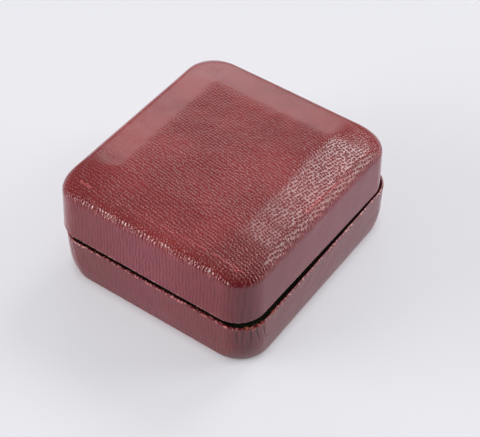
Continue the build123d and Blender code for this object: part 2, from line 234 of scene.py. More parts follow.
def lid_section(z, inset):
    """Width, depth and corner radius of the lid's outline at level z of its side."""
    side = lid_lean * z / lid_side_height + inset
    return lid_width - 2 * side, lid_depth - 2 * side, lid_corner - side


def shoulder_section(turn):
    """Level and outline at an angle of turn round the lid's shoulder."""
    side = lid_lean + shoulder_radius * (1 - math.cos(turn))
    level = lid_side_height + shoulder_radius * math.sin(turn)
    radius = lid_corner - lid_lean + shoulder_corner_growth * (1 - math.cos(turn))
    return level, (lid_width - 2 * side, lid_depth - 2 * side, radius)


def shrunk(section, share):
    """An outline scaled towards its centre by a share of its size."""
    return [size * (1 - share) for size in section]


def add_object(name, data):
    """An object of the scene that shows a mesh, curve, lamp or camera."""
    made = bpy.data.objects.new(name, data)
    bpy.context.scene.collection.objects.link(made)
    return made


def mesh_object(name, vertices, faces, values=None):
    """A smooth mesh from points in millimetres, with a float or vector value on each of its points."""
    mesh = bpy.data.meshes.new(name)
    mesh.from_pydata((np.asarray(vertices, float) * MM).tolist(), [], faces)
    for key, data in (values or {}).items():
        data = np.asarray(data, np.float32)
        kind, field = ("FLOAT_VECTOR", "vector") if data.ndim == 2 else ("FLOAT", "value")
        mesh.attributes.new(key, kind, "POINT").data.foreach_set(field, data.ravel())
    mesh.polygons.foreach_set("use_smooth", [True] * len(mesh.polygons))
    mesh.update()
    return add_object(name, mesh)


def quads(row_count, count, first=0, hole=None, ring=True):
    """Faces between rows of points that follow each other, each a closed ring or an open line."""
    faces = []
    for r in range(row_count - 1):
        for c in range(count if ring else count - 1):
            if hole is None or not hole(r, c):
                a = first + r * count + c
                b = first + r * count + (c + 1) % count
                faces.append((a, b, b + count, a + count))
    return faces


def turn_outwards(piece):
    """Drops loose points and turns all faces outwards."""
    work = bmesh.new()
    work.from_mesh(piece.data)
    loose = [v for v in work.verts if not v.link_faces]
    bmesh.ops.delete(work, geom=loose, context="VERTS")
    bmesh.ops.recalc_face_normals(work, faces=work.faces)
    work.to_mesh(piece.data)
    work.free()


def final_mesh(piece):
    """A piece's own mesh once its modifier or its curve's bevel is applied."""
    graph = bpy.context.evaluated_depsgraph_get()
    return bpy.data.meshes.new_from_object(piece.evaluated_get(graph))


def thicken(piece, thickness):
    """Gives a one-sided skin its thickness, inwards, and closes its edges."""
    solid = piece.modifiers.new("thickness", "SOLIDIFY")
    solid.thickness = thickness * MM
    solid.offset = -1
    mesh = final_mesh(piece)
    piece.modifiers.clear()
    thin = piece.data
    piece.data = mesh
    bpy.data.meshes.remove(thin)


def turned_to_rest(points):
    """Points of the flat, closed lid, turned about the hinge to where the lid rests."""
    angle = -math.radians(lid_rest_angle)
    y, z = points[:, 1] - hinge_y, points[:, 2] - hinge_z
    turned = points.copy()
    turned[:, 1] = hinge_y + y * math.cos(angle) - z * math.sin(angle)
    turned[:, 2] = hinge_z + y * math.sin(angle) + z * math.cos(angle)
    return turned


def smooth_step(x, low, high):
    """A smooth rise from 0 where x is low to 1 where it is high."""
    t = np.clip((x - low) / (high - low), 0, 1)
    return t * t * (3 - 2 * t)


def wander(points, size, seed):
    """A smooth wandering value from -1 to 1 over points, with bumps of a size in millimetres."""
    offset = Vector((seed, 2 * seed, 3 * seed))
    return np.array([noise.noise(Vector(p) / size + offset) for p in points])


def skin(name, rows, hole=None, values=None, closed=(False, True)):
    """A skin through rows of points, all with the same columns, closed to a point before or after them."""
    count = len(rows[0])
    vertices = np.concatenate(rows)
    values = dict(values or {})
    faces = quads(len(rows), count, hole=hole)
    for wanted, first in zip(closed, (0, (len(rows) - 1) * count)):
        if wanted:
            tip = len(vertices)
            vertices = np.vstack([vertices, vertices[first : first + count].mean(0)])
            faces += [(first + c, first + (c + 1) % count, tip) for c in range(count)]
            for key, data in values.items():
                values[key] = np.concatenate([data, data[first : first + count].mean(0)[None]])
    made = mesh_object(name, vertices, faces, values)
    turn_outwards(made)
    return made


def in_slot(column):
    """Whether a column is in the rear side's slot for the hinge."""
    return slot_start <= column < slot_end


class Path:
    """Rows of a sheet or cushion, gathered one by one across it."""

    def __init__(self, centre=(0.0, 0.0)):
        self.centre = centre
        self.rows, self.outs, self.levels, self.kinds = [], [], [], []

    def add(self, z, section, kind="face"):
        points, out = outline(*section, shift=self.centre[0])
        self.rows.append(np.column_stack([points + np.array(self.centre), np.full(len(points), z)]))
        self.outs.append(np.column_stack([out, np.zeros(len(out))]))
        self.levels.append(z)
        self.kinds.append(kind)

    def add_wall(self, section, level, fold_rows, side_rows, side_end, count):
        """Rows up the inside of a wall, over its rim and down its side, by their distance from the rim."""
        rim = wall / 2
        for away in fold_rows:
            self.add(level(away), section(level(away), wall), "fold")
        for turn in np.linspace(0, math.pi, 9):
            over = section(level(0), rim * (1 + math.cos(turn)))
            self.add(level(rim * (1 - math.sin(turn))), over, "lip" if turn < math.pi / 2 - 0.01 else "rim")
        for away in (*side_rows, *np.linspace(side_rows[-1], side_end, count)[1:]):
            self.add(level(away), section(level(away), 0), "side")

    def gathered(self):
        """All points, their outward directions and their kinds, row after row."""
        return np.concatenate(self.rows), np.concatenate(self.outs), np.repeat(self.kinds, column_count)

    def in_rows(self, points):
        """The gathered points, moved since, in their rows again."""
        return points.reshape(len(self.rows), column_count, 3)

    def sheet(self, flat_kinds):
        """Where each point lies on the flat sheet, whose middle is the rows of the flat kinds."""
        flat = [None] * len(self.rows)
        run = 0.0
        for r in range(len(self.rows) - 1, -1, -1):
            if self.kinds[r] in flat_kinds:
                flat[r] = self.rows[r][:, :2]
                edge = r
            else:
                run += np.linalg.norm(self.rows[r] - self.rows[r + 1], axis=1).mean()
                flat[r] = flat[edge] + run * self.outs[edge][:, :2]
        return np.concatenate([np.column_stack([f, np.zeros(len(f))]) for f in flat]) * MM


# Pleats that gather the sheet round a corner: degrees of turn, length, slant in degrees per millimetre, depth
pleats = (
    (12.0, 3.2, 0.0, 0.5),
    (27.0, 5.6, 0.2, 0.9),
    (38.0, 6.2, -0.3, 0.8),
    (53.0, 6.0, 0.2, 1.0),
    (64.0, 6.2, 1.4, 1.0),
    (79.0, 6.2, 1.6, 0.9),
)
pleat_width = 1.1
lid_pleat_share = 0.4
lid_pleat_reach = 0.8
lid_pleat_depth = 0.18
base_pleat_depth = 0.2
base_pleat_start = 0.75
corner_starts = (side_columns, rear_left_corner, front_left_corner, near_corner)
corner_strength = (0.45, 0.35, 0.6, 1.0)

# How streaked a side is where it faces left or right, in its ribs and the painted shade of their valleys, as
# a share of how streaked the front and rear are, and how deep the grain of the underside is, as a share of
# the full depth
side_streaks = 0.12
underside_grain = 0.35


def pleat_depths(path, kind, away, reach):
    """How deep each point lies in the pleats at the corners, by its distance away from the rim."""
    depths = np.zeros((len(path.rows), column_count))
    for r, found in enumerate(path.kinds):
        if found != kind:
            continue
        for corner, strength in zip(corner_starts, corner_strength):
            turn = 90.0 * np.arange(corner_columns) / corner_columns
            for place, length, slant, depth in pleats:
                down = away[r]
                span = length * reach
                if 0 <= down <= span:
                    rise = math.sin(math.pi * (down / span) ** 0.55) ** 0.5
                    wave = 0.7 * math.sin(1.9 * down + place)
                    line = np.exp(-(((turn - place - slant * down - wave) / pleat_width) ** 2))
                    depths[r, corner : corner + corner_columns] += strength * depth * rise * line
    return depths.ravel()


def corner_share():
    """For each column, 1 in the middle of a corner and 0 on the sides, and less at the unseen corners."""
    share = np.zeros(column_count)
    for start, strength in zip(corner_starts, corner_strength):
        share[start : start + corner_columns] = strength * np.sin(np.linspace(0, math.pi, corner_columns))
    return share


def cover_values(path, flat_kinds, outs, kinds, folds, lip):
    """What the look of both covers is drawn from at each point."""
    return {
        "sheet": path.sheet(flat_kinds),
        "streaked": side_streaks + (1 - side_streaks) * outs[:, 1] ** 2,
        "rim": ((kinds == "rim") | (kinds == "lip")) * 1.0 - lip,
        "crease": folds,
        "lip": lip,
        "crackle": np.tile(corner_share(), len(path.rows)),
    }


def lid_cover():
    """The lid's leatherette: fold, rim, side, shoulder, bevels and plateau."""
    path = Path(lid_centre)
    path.add_wall(lid_section, lambda away: away, lid_fold_rows, lid_side_rows, lid_side_height, 20)
    for turn in np.linspace(0, shoulder_turn, 13)[1:]:
        path.add(*shoulder_section(turn), "shoulder")
    foot, top = shoulder_section(shoulder_turn)[1], (plateau_width, plateau_depth, plateau_corner)
    for share in (*np.linspace(0, 0.7, 9)[1:], *np.linspace(0.7, 1, 9)[1:]):
        width, depth = (a + share * (b - a) for a, b in zip(foot[:2], top[:2]))
        corner = top[2] + (foot[2] - top[2]) * (1 - share) ** mitre_power
        path.add(lid_height, (width, depth, corner), "bevel")
    for share in (*np.linspace(0, 0.3, 11)[1:], *np.linspace(0.3, 0.99, 13)[1:]):
        path.add(lid_height, shrunk(top, share), "plateau")
    settle_plateau(path, (foot[0] - top[0]) / 2)
    points, outs, kinds = path.gathered()
    level = points[:, 2].copy()
    points[:, 2] += lid_edge_z
    down = [z if kind == "side" else 0 for z, kind in zip(path.levels, path.kinds)]
    folds = lid_pleat_share * pleat_depths(path, "side", down, lid_pleat_reach)
    free = (kinds == "side") | (kinds == "shoulder")
    points += (free * side_wave * wander(points, 17, 3) - lid_pleat_depth * folds)[:, None] * outs
    points[:, 2] += ((kinds == "bevel") | (kinds == "plateau")) * top_wave * wander(points, 11, 7)
    values = cover_values(path, ("plateau", "bevel", "shoulder"), outs, kinds, folds, np.zeros(len(points)))
    values["grain"] = lid_grain(points, outs, level, kinds == "plateau")
    values["drawn"] = smooth_step(level, lid_side_height + 3.2, lid_side_height - 0.5)
    values["crackle"] *= smooth_step(level, 4.0, 1.0) * free

    def hole(r, c):
        return in_slot(c) and max(path.levels[r], path.levels[r + 1]) <= lid_slot_top + 1e-6

    return skin("lid_leatherette", path.in_rows(turned_to_rest(points)), hole, values)


def settle_plateau(path, run):
    """Sets the level of the bevels and plateau, with a soft edge between them and a slight crown."""
    last = (run + math.hypot(run, plateau_softness)) / 2
    for row, kind in zip(path.rows, path.kinds):
        if kind in ("bevel", "plateau"):
            fall = (row[:, 0].max() - row[:, 0].min() - plateau_width) / 2
            soft = (fall + math.hypot(fall, plateau_softness)) / 2
            row[:, 2] = lid_height - bevel_rise * soft / last + plateau_crown * smooth_step(-fall, 2, 17)


def lid_grain(points, outs, level, on_plateau):
    """How deep the lid's grain is, and so how strong its painted glints and the painted shade of its pits
    are: none on the sides, worn on the rear and left bevels, coarse in front.
    """
    rear_left = np.maximum(outs[:, 1], -outs[:, 0]).clip(0, 1) ** 2
    raised = smooth_step(level, lid_side_height - 0.3, lid_side_height + 2.2)
    ahead, aside = lid_centre[1] - points[:, 1], points[:, 0] - lid_centre[0]
    coarse = 0.7 + 0.55 * smooth_step(ahead, -20, 15)
    coarse += np.maximum(0.6 * smooth_step(ahead, 18, 26), 0.8 * smooth_step(aside, 16, 22))
    return raised * coarse * (1 - 0.8 * rear_left * ~on_plateau)


def on_right(outs):
    """1 where the outline faces right, 0 round the corners and elsewhere."""
    return smooth_step(outs[:, 0], *right_facing)


def rim_dip(points, outs):
    """How far the base's rim and collar dip at each point, along the right side only."""
    along = smooth_step(points[:, 1], *sag_start) * smooth_step(points[:, 1], *sag_end)
    return rim_sag * on_right(outs) * along * smooth_step(points[:, 2], *sag_levels)


def base_cover():
    """The base's leatherette: fold, rim, side, foot and underside."""
    path = Path()
    side_end = base_height - foot_edge_radius
    path.add_wall(base_section, lambda away: base_height - away, base_fold_rows, base_side_rows, side_end, 28)
    for turn in np.linspace(0, math.pi / 2, 6)[1:]:
        inset = foot_edge_radius * (1 - math.cos(turn))
        path.add(foot_edge_radius * (1 - math.sin(turn)), base_section(foot_edge_radius, inset), "foot")
    bottom = base_section(foot_edge_radius, foot_edge_radius)
    for share in underside_shares:
        path.add(0.0, shrunk(bottom, share), "underside")
    down = [base_height - base_pleat_start - z for z in path.levels]
    folds = pleat_depths(path, "side", down, 1.0)
    points, outs, kinds = path.gathered()
    side = kinds == "side"
    points += (side * side_wave * wander(points, 15, 5) - base_pleat_depth * folds)[:, None] * outs
    points[:, 2] -= rim_dip(points, outs)
    # The inner half of the rim along the right side, painted dark as the lid's shadow on it
    lip = (kinds == "lip") * on_right(outs)
    level = points[:, 2]
    values = cover_values(path, ("underside",), outs, kinds, folds, lip)
    values["grain"] = underside_grain * smooth_step(level, 0.9, 0.0) * (kinds == "underside")
    values["drawn"] = smooth_step(level, 0.2, 1.2)
    values["crackle"] *= smooth_step(level, 5.5, 10.5) * side

    def hole(r, c):
        return in_slot(c) and min(path.levels[r], path.levels[r + 1]) >= slot_bottom - 1e-6

    return skin("base_leatherette", path.in_rows(points), hole, values)


def collar(name, on_lid, start, fold, inner, thickness):
    """A strip of cloth up the inside of a wall and over the card's edge, open at the hinge."""
    path = Path(lid_centre if on_lid else (0.0, 0.0))
    section = lid_section if on_lid else base_section
    way = 1 if fold > start else -1
    bend = inner - collar_round_end
    for z in np.linspace(start, fold - way * bend, 12):
        path.add(z, section(z, inner))
    for angle in np.linspace(0, math.pi / 2, 7)[1:]:
        z = fold - way * bend * (1 - math.sin(angle))
        path.add(z, section(z, inner - bend * (1 - math.cos(angle))))
    path.add(fold, section(fold, collar_flat_end))
    path.add(fold - way * collar_tuck, section(fold, collar_outer))
    points, outs, _ = path.gathered()
    points += (cloth_wave * wander(points, 5, 9))[:, None] * outs
    if on_lid:
        points[:, 2] += lid_edge_z
        points = turned_to_rest(points)
    else:
        points[:, 2] -= 1.3 * rim_dip(points, outs)
    made = skin(name, path.in_rows(points), lambda r, c: in_slot(c), closed=(False, False))
    thicken(made, thickness)
    return made


def insert_outer(inset):
    """The insert's outline, which has a recess for the snap spring at the rear."""
    width, depth, radius = base_section(insert_top, insert_inset + inset)
    cx, y = width / 2 - radius, depth / 2
    half, front = recess_half + inset, recess_front - inset
    rear = [(cx, y), (half, y), (half, front), (-half, front), (-half, y), (-cx, y)]
    return rounded(width, depth, radius, rear, 30, 24, 12, (12, 5, 8, 5, 12))[0]


def well_outline(growth):
    """The coin's round well with the thumb notch at its front, larger all round by growth."""
    coin, notch = well_radius + growth, notch_radius + growth
    meet_y = -(well_radius**2 + coin**2 - notch**2) / (2 * well_radius)
    meet_x = math.sqrt(coin**2 - meet_y**2)
    side = math.degrees(math.atan2(meet_y, meet_x))
    low = math.degrees(math.atan2(meet_y + well_radius, meet_x))
    round_well = arc((0, 0), coin, side, 180 - side, 132)[0]
    round_notch = arc((0, -well_radius), notch, 180 - low, 360 + low, 36)[0]
    return np.concatenate([round_well, round_notch])


def insert_walls():
    """Velvet down the insert's edges and down the wall of the well: points, faces and the two top rings."""
    rows = [(z, 0.0) for z in insert_rows]
    for bend in np.linspace(0, math.pi / 2, 6)[1:]:
        rows.append((insert_top - insert_round * (1 - math.sin(bend)), insert_round * (1 - math.cos(bend))))
    vertices, faces, tops = [], [], []
    for edge in (insert_outer, well_outline):
        first, count = len(vertices), len(edge(0))
        for z, inset in rows:
            vertices += [(x, y, z) for x, y in edge(inset)]
        faces += quads(len(rows), count, first)
        tops.append((first + (len(rows) - 1) * count, count))
    return vertices, faces, tops


def insert_velvet():
    """The insert's velvet, with its flat top filled in between the outline and the well."""
    vertices, faces, tops = insert_walls()
    ring = [i for first, count in tops for i in range(first, first + count)]
    edges, seen = [], 0
    for _, count in tops:
        edges += [(seen + i, seen + (i + 1) % count) for i in range(count)]
        seen += count
    step, clear = 1.8, 0.9
    outer = insert_outer(insert_round)
    border = np.concatenate([outer, well_outline(insert_round)])

    def inside(x, y):
        return in_cloth(x, y) and np.hypot(*(border - (x, y)).T).min() > clear

    def in_cloth(x, y):
        width, depth, _ = base_section(insert_top, insert_inset + insert_round)
        in_recess = abs(x) < recess_half + insert_round and y > recess_front - insert_round
        in_well = math.hypot(x, y) <= well_radius + insert_round
        in_notch = math.hypot(x, y + well_radius) <= notch_radius + insert_round
        on_board = abs(x) <= width / 2 and abs(y) <= depth / 2
        return on_board and not (in_recess or in_well or in_notch)

    grid = [(x, y) for x in np.arange(-27, 27.1, step) for y in np.arange(-30, 30.1, step) if inside(x, y)]
    flat = [Vector(vertices[i][:2]) for i in ring] + [Vector(p) for p in grid]
    places, _, triangles, sources, *_ = geometry.delaunay_2d_cdt(flat, edges, [], 0, 1e-6)
    number = {}
    for new, old in enumerate(sources):
        if old and old[0] < len(ring):
            number[new] = ring[old[0]]
        else:
            number[new] = len(vertices)
            vertices.append((*places[new], insert_top))
    for triangle in triangles:
        middle = sum((places[i] for i in triangle), Vector((0, 0))) / 3
        if in_cloth(*middle) and in_loop(middle, outer):
            faces.append(tuple(number[i] for i in triangle))
    points = np.array(vertices)
    points[:, 2] += cloth_wave * wander(points, 7, 21)
    made = mesh_object("insert_velvet_cloth", points, faces)
    turn_outwards(made)
    thicken(made, velvet_skin)
    return made


def in_loop(point, loop):
    """Whether a point lies inside a closed outline."""
    x, y = point
    inside = False
    for (ax, ay), (bx, by) in zip(loop, np.roll(loop, -1, axis=0)):
        if (ay > y) != (by > y) and x < (bx - ax) * (y - ay) / (by - ay) + ax:
            inside = not inside
    return inside


def well_patch():
    """The velvet patch at the bottom of the well."""
    low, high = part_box("well_floor_velvet")
    xs = np.linspace(low[0], high[0], 45) / MM
    ys = np.linspace(low[1], high[1], 52) / MM
    points = np.array([(x, y, patch_bottom + patch_rise) for y in ys for x in xs])
    near, far = ([xs[i], ys[i]] for i in (0, -1))
    edge = np.minimum(np.abs(points[:, :2] - near), np.abs(points[:, :2] - far)).min(1)
    points[:, 2] += cloth_wave * wander(points, 6, 31) * smooth_step(edge, 0, 2) - patch_settle
    made = mesh_object("well_velvet", points, quads(len(ys), len(xs), ring=False))
    thicken(made, patch_skin)
    return made


def pad_section(inset, corner=pad_corner):
    """Width, depth and corner radius of an outline drawn in from the lid's."""
    return lid_width - 2 * inset, lid_depth - 2 * inset, corner


def pad_cushion():
    """The lid's satin pad: drawn over its board, crowned, with small gathers at its corners."""
    path = Path(lid_centre)
    board_inset = pad_inset + pad_skin + pad_side_draw
    front, back = pad_level - pad_front_gap, pad_board_back + pad_back_gap
    board = pad_section(board_inset, pad_corner - pad_skin)
    for share in (0.98, 0.9, 0.75, 0.55, 0.35, 0.15, 0.05):
        path.add(front, shrunk(board, share), "inside")
    for z in (front, 10.0, back):
        path.add(z, board, "inside")
    for step in (0.35, 0.7, 1.0):
        path.add(back, pad_section(board_inset + pad_turned_over * step), "inside")
    for step in (1.0, 0.6, 0.25, 0.08):
        path.add(pad_back, pad_section(pad_inset + pad_turned_over * step), "back")
    for z in (10.7, 10.3, 9.85):
        path.add(z, pad_section(pad_inset), "edge")
    half_width, half_depth = lid_width / 2 - pad_inset, lid_depth / 2 - pad_inset
    reach = [0.0] * len(path.rows)
    for turn in np.linspace(0, math.radians(89), 44):
        power = 2 / pad_crown_power
        drawn = half_width * (1 - math.cos(turn) ** power)
        fall = pad_crown * math.sin(turn) ** power
        section = pad_section(pad_inset + drawn, pad_corner * (1 - drawn / half_width))
        path.add(pad_level - fall, section, "crown")
        reach.append(drawn)
    points, outs, kinds = path.gathered()
    soft = (kinds == "crown") | (kinds == "edge")
    inward = np.repeat(reach, column_count)
    x, y = points[:, 0] - lid_centre[0], points[:, 1] - lid_centre[1]
    room = 1.0
    for away, half in ((x, half_width), (y, half_depth)):
        room = room * (1 - (np.abs(away) / half) ** pad_crown_power).clip(0, 1)
    rounded = pad_level - pad_crown * room ** (1 / pad_crown_power)
    points[:, 2] += smooth_step(inward, 0.5, 9.0) * (rounded - points[:, 2])
    level = points[:, 2]
    on_end, on_side = (np.abs(outs[:, axis]) > 0.999 for axis in (0, 1))
    bow = np.where(on_end, 1 - (y / half_depth) ** 2, 1 - (x / half_width) ** 2).clip(0, 1)
    draw = pad_side_draw * (on_end | on_side) * bow
    at_corner = np.tile(corner_share() > 0, len(path.rows))
    columns = np.tile(np.arange(column_count), len(path.rows))
    crown = smooth_step(level, pad_level - pad_crown, pad_level - 0.4)
    gathers = at_corner * np.sin(columns * 2 * math.pi / 7 + 1.3 * wander(points, 6, 41)) * crown
    sag = wander(points, 14, 43) * smooth_step(level, pad_level, pad_level - pad_crown * 0.9)
    drawn_in = draw + gather_depth * (1 + gathers)
    points -= (soft * smooth_step(inward, 12, 3) * drawn_in)[:, None] * outs
    points[:, 2] += soft * (0.1 * sag + 0.03 * wander(points, 3, 47))
    points[:, 2] += lid_edge_z
    return skin("lid_pad", path.in_rows(turned_to_rest(points)), closed=(True, True))


# Snap spring, from its low hook to its high hook
spring_width = 4.5
spring_steel = 0.3
spring_bow = 4.6
spring_hook = 3.4
spring_lug = 0.6
spring_foot = 0.75
spring_bend = 0.12
spring_ease = 0.08


def spring_strip():
    """The snap spring: a steel strip bent to a C, with softened edges and hooked ends."""
    hook_y = hinge_y - spring_hook
    low, high = hinge_z - spring_bow, hinge_z + spring_bow

    def at_rest(y, z):
        return turned_to_rest(np.array([[0.0, y, z]]))[0, 1:]

    start = np.array([hook_y - spring_foot, low])
    end = at_rest(hook_y - spring_foot, high)
    middle = np.array([hinge_y - spring_hook - spring_bow, (low + end[1]) / 2])
    centre = circle_centre(start, middle, end)
    radius = np.linalg.norm(start - centre)
    turns = [math.atan2(*(p - centre)[::-1]) % (2 * math.pi) for p in (start, end)]
    line = [(hook_y, low + spring_lug), (hook_y, low + spring_bend), (hook_y - spring_bend, low)]
    for turn in np.linspace(*turns[::-1], 40)[::-1]:
        line.append(centre + radius * np.array([math.cos(turn), math.sin(turn)]))
    line += [at_rest(hook_y - spring_bend, high), at_rest(hook_y, high - spring_bend)]
    line = np.array([*line, at_rest(hook_y, high - spring_lug)])
    half, thick, ease = spring_width / 2, spring_steel / 2, spring_ease
    across = [(-half + ease, thick), (half - ease, thick), (half, thick - ease), (half, ease - thick)]
    across += [(half - ease, -thick), (ease - half, -thick), (-half, ease - thick), (-half, thick - ease)]
    ahead = np.gradient(line, axis=0)
    ahead /= np.linalg.norm(ahead, axis=1)[:, None]
    vertices = []
    for (y, z), (dy, dz) in zip(line, ahead):
        vertices += [(x, y - dz * out, z + dy * out) for x, out in across]
    count = len(across)
    faces = [tuple(range(count)), tuple(range(len(vertices) - count, len(vertices)))[::-1]]
    made = mesh_object("snap_strip", vertices, faces + quads(len(line), count))
    turn_outwards(made)
    return made


def circle_centre(a, b, c):
    """The centre of the circle through three points."""
    system = 2 * np.array([b - a, c - a])
    return np.linalg.solve(system, [b @ b - a @ a, c @ c - a @ a])


# Frayed places on the base's rim: degrees of turn round the near corner or place along the right side,
# and how many hairs each has
frays = ((318, 26), (326, 14), (341, 20), (349, 10))
side_frays = ((-22.4, 26), (-19.5, 6))
fray_length = 0.85
fray_radius = 0.055
fray_sink = 0.12
fray_inset = 0.3


def fray_hairs():
    """Torn threads and flakes of the leatherette that stand up from the rim at the near corner."""
    random = np.random.default_rng(17)
    rim = base_height - fray_sink
    corner = np.array([base_width / 2 - base_corner, base_corner - base_depth / 2, 0])
    roots = []
    for turn, count in frays:
        for angle in np.radians(turn + random.normal(0, 1.8, count)):
            out = np.array([math.cos(angle), math.sin(angle), 0])
            roots.append((corner + (base_corner - fray_inset) * out, out))
    for y, count in side_frays:
        for place in y + random.normal(0, 0.5, count):
            roots.append((np.array([base_width / 2 - fray_inset, place, 0]), np.array([1.0, 0, 0])))
    curve = bpy.data.curves.new("frays", "CURVE")
    curve.dimensions = "3D"
    curve.bevel_depth = fray_radius * MM
    curve.bevel_resolution = 1
    curve.use_fill_caps = True
    for root, out in roots:
        length = fray_length * random.uniform(0.35, 1.0)
        lean = random.normal(0, 0.5, 3) + out * random.uniform(-0.5, 0.9)
        lean += (0, 0, random.uniform(0.0, 0.6))
        curl = random.normal(0, 0.35, 3)
        spline = curve.splines.new("POLY")
        spline.points.add(4)
        for i, point in enumerate(spline.points):
            t = i / 4
            place = root + (0, 0, rim) + length * (t * lean + t * t * curl)
            point.co = (*(place * MM), 1)
            point.radius = 1 - 0.6 * t
    piece = add_object("frays", curve)
    mesh = final_mesh(piece)
    bpy.data.objects.remove(piece)
    return add_object("rim_frays", mesh)


class Nodes:
    """Short calls for the nodes of a material or a world."""

    def __init__(self, tree):
        self.tree = tree

    def put(self, socket, value):
        if isinstance(value, bpy.types.NodeSocket):
            self.tree.links.new(value, socket)
        else:
            socket.default_value = value

    def node(self, kind, inputs=None, **settings):
        made = self.tree.nodes.new("ShaderNode" + kind)
        for key, value in settings.items():
            setattr(made, key, value)
        for key, value in (inputs or {}).items():
            self.put(made.inputs[key], value)
        return made

    def math(self, operation, *values):
        return self.node("Math", dict(enumerate(values)), operation=operation).outputs[0]

    def joined(self, operation, values):
        """Many values joined by one operation, such as their sum."""
        return functools.reduce(lambda first, second: self.math(operation, first, second), values)

    def times(self, *values):
        """The product of two or more values."""
        return self.joined("MULTIPLY", values)

    def vector(self, operation, *values):
        return self.node("VectorMath", dict(enumerate(values)), operation=operation).outputs[0]

    def measure(self, operation, *values):
        return self.node("VectorMath", dict(enumerate(values)), operation=operation).outputs["Value"]

    def step(self, value, low, high, to_low=0.0, to_high=1.0):
        inputs = {"Value": value, "From Min": low, "From Max": high, "To Min": to_low, "To Max": to_high}
        return self.node("MapRange", inputs, interpolation_type="SMOOTHSTEP").outputs["Result"]


# Patterns of noise: bumps to the metre, or to the metre along x, y and z, and their fine detail.
# Where a pattern is stepped: the noise at which the step starts and ends, and its values there if not 0 and 1
patterns = {
    "sway": (450.0, 2.0),
    "wave": (150.0, 1.0),
    "fine": (3800.0, 2.0),
    "stripe": ((1500, 330, 280), 2.0),
    "crack": ((1100, 1100, 330), 2.0, 0.40, 0.33),
    "depth": (260.0, 2.0, 0.3, 0.7, 0.85, 1.15),
    "blotches": (85.0, 3.0, 0.35, 0.65),
    # How strong the painted glints on the grain's tips are
    "glint_strength": (900.0, 2.0, 0.35, 0.7, 0.08, 0.4),
    "rim_dots": (1500.0, 2.0, 0.53, 0.60, 0.0, 0.85),
    "gloss": (260.0, 3.0, 0.3, 0.7, 0.11, 0.17),
    "waver": (900.0, 3.0),
    "gaps": (1300.0, 2.0, 0.35, 0.55),
    "nap": (210.0, 3.0, 0.35, 0.7),
    "pile": (5200.0, 3.0),
    "slub": (160.0, 2.0),
    "thread": ((6500, 900, 900), 1.0),
    "stain": (340.0, 3.0, 0.42, 0.72),
    "brush": ((300, 2600, 2600), 2.0),
    "fibre": ((2400, 700, 1500), 4.0),
    "tint": (1400.0, 2.0, 0.4, 0.6),
    "tear": (6000.0, 2.0),
}


class Finish(Nodes):
    """A node material with one surface shader."""

    def __init__(self, name, **settings):
        self.material = bpy.data.materials.new(name)
        self.material.use_nodes = True
        super().__init__(self.material.node_tree)
        self.shader = self.tree.nodes["Principled BSDF"]
        for key, value in settings.items():
            self.feed(key.replace("_", " "), value)

    def feed(self, name, value):
        self.put(self.shader.inputs[name], value)

    def mix(self, share, first, second):
        return self.node("Mix", {0: share, 6: first, 7: second}, data_type="RGBA").outputs[2]

    def place(self):
        return self.node("TexCoord").outputs["Object"]

    def attribute(self, name, output="Fac"):
        return self.node("Attribute", attribute_name=name, attribute_type="GEOMETRY").outputs[output]

    def pattern(self, name, place=None, output=0):
        """One of the patterns of noise, over the piece or over places on the flat sheet."""
        bumps, detail, *steps = patterns[name]
        if place is None:
            place = self.place()
        if isinstance(bumps, tuple):
            place, bumps = self.vector("MULTIPLY", place, bumps), 1.0
        found = self.node("TexNoise", {"Vector": place, "Scale": bumps, "Detail": detail}).outputs[output]
        return self.step(found, *steps) if steps else found

    def strayed(self, place, name, reach):
        """Places moved over the sheet by a pattern of noise, by up to a reach in millimetres."""
        shift = self.vector("MULTIPLY", self.pattern(name, place, output=1), (reach * MM, reach * MM, 0.0))
        return self.vector("ADD", place, shift)

    def cells(self, place, low, high):
        """A smooth step of the distance from the middles of scattered cells."""
        inputs = {"Vector": place, "Scale": 1.0, "Randomness": pit_scatter}
        found = self.node("TexVoronoi", inputs, voronoi_dimensions="2D")
        return self.step(found.outputs["Distance"], low, high)

    def glow_to_rays(self, colour, share, reach):
        """Mixes in a brightness that only the camera and the gloss see, less of it near a piece, which paints
        a contact shadow round the piece.
        """
        path = self.node("LightPath").outputs
        seen = self.math("MAXIMUM", path["Is Camera Ray"], path["Is Glossy Ray"])
        open_air = self.node("AmbientOcclusion", {"Distance": reach}).outputs["AO"]
        glow = self.node("Emission", {"Color": colour, "Strength": 1.0}).outputs[0]
        inputs = {0: self.times(seen, share, open_air), 1: self.shader.outputs[0], 2: glow}
        mixed = self.node("MixShader", inputs).outputs[0]
        self.put(self.tree.nodes["Material Output"].inputs["Surface"], mixed)

    def bump(self, *heights):
        """Bump from heights that are each a value times a size in metres."""
        height = self.joined("ADD", [self.times(*pair) for pair in heights])
        inputs = {"Strength": 1.0, "Distance": 1.0, "Height": height}
        self.feed("Normal", self.node("Bump", inputs).outputs[0])


def rgb(red, green, blue):
    """A colour given in sRGB from 0 to 255, as the linear colour that a shader takes."""
    channels = [c / 255 for c in (red, green, blue)]
    return (*[c / 12.92 if c <= 0.04045 else ((c + 0.055) / 1.055) ** 2.4 for c in channels], 1.0)


leather_deep = rgb(133, 40, 42)
leather_light = rgb(148, 50, 51)
# A lighter tone: painted glints on the grain's tips, and the rim's dots, which are partly painted highlight
# and partly wear
leather_glint_and_wear = rgb(214, 138, 134)
leather_torn = rgb(206, 92, 92)
# Dark tone painted into the grain's pits, the ribs' valleys and the cracks, as the shade in them
leather_painted_shade = rgb(84, 8, 14)
# Dark tone: painted shade in the pleats, and the lid's painted shadow on the inner half of the base's rim
leather_pleat_and_lip_shade = rgb(66, 0, 14)
# The lid's side tone, greyer and more violet than its top: a painted sheen of the floor's reflection
leather_side_sheen = rgb(134, 60, 77)
